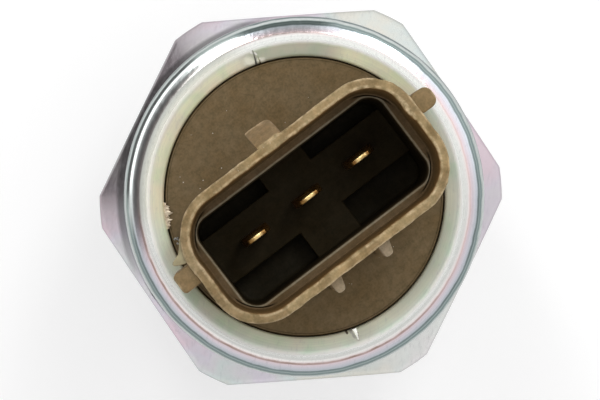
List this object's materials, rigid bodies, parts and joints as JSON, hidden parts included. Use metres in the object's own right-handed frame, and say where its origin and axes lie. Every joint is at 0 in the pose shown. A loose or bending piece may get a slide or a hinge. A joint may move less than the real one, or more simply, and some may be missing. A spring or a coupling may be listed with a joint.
{
  "type": "fuel pressure sensor",
  "caption": "Threaded steel pressure sensor with a hexagon, a crimped collar and an oval brown plug socket with blade terminals.",
  "frame": {"origin": "centre of the nose's flat end face, on the thread's axis", "axes": "+Z along the thread's axis, out of the plug socket; +X along the row of terminals; the latch wedge faces -Y"},
  "size_m": [0.0276, 0.0298, 0.0555],
  "materials": {
    "plated_steel": "bright plating with a pale rainbow tint",
    "stem_steel": "fine turned",
    "bonding_glass": "fired, glossy",
    "silicon": "polished",
    "board_ceramic": "fired, matt",
    "adhesive": "cured, satin",
    "chip_package": "moulded, matt",
    "capacitor_ceramic": "fired, matt",
    "bond_wire_metal": "drawn, bright",
    "gel": "clear, glossy",
    "tinned_copper": "tin plated",
    "solder": "reflowed, bright",
    "carrier_plastic": "moulded, satin",
    "sealant": "cured, glossy",
    "seal_rubber": "moulded, matt",
    "brown_plastic": "moulded with glass fibre, satin",
    "terminal_plating": "gold plated"
  },
  "bodies": {
    "root": {"housing": "plated_steel", "pressure_stem": "stem_steel", "stem_clamp_ring": "stem_steel", "chip_glass": "bonding_glass", "strain_gauge_chip": "silicon", "circuit_board": "board_ceramic", "board_adhesive": "adhesive", "amplifier_chip": "chip_package", "trimming_chip": "chip_package", "chip_capacitors": "capacitor_ceramic", "bond_wires": "bond_wire_metal", "protective_gel": "gel", "contact_pins": "tinned_copper", "pin_solder": "solder", "terminal_carrier": "carrier_plastic", "terminal_sealant": "sealant", "seal_ring": "seal_rubber", "plug_body": "brown_plastic", "terminal_left": "terminal_plating", "terminal_middle": "terminal_plating", "terminal_right": "terminal_plating"}
  },
  "joints": []
}
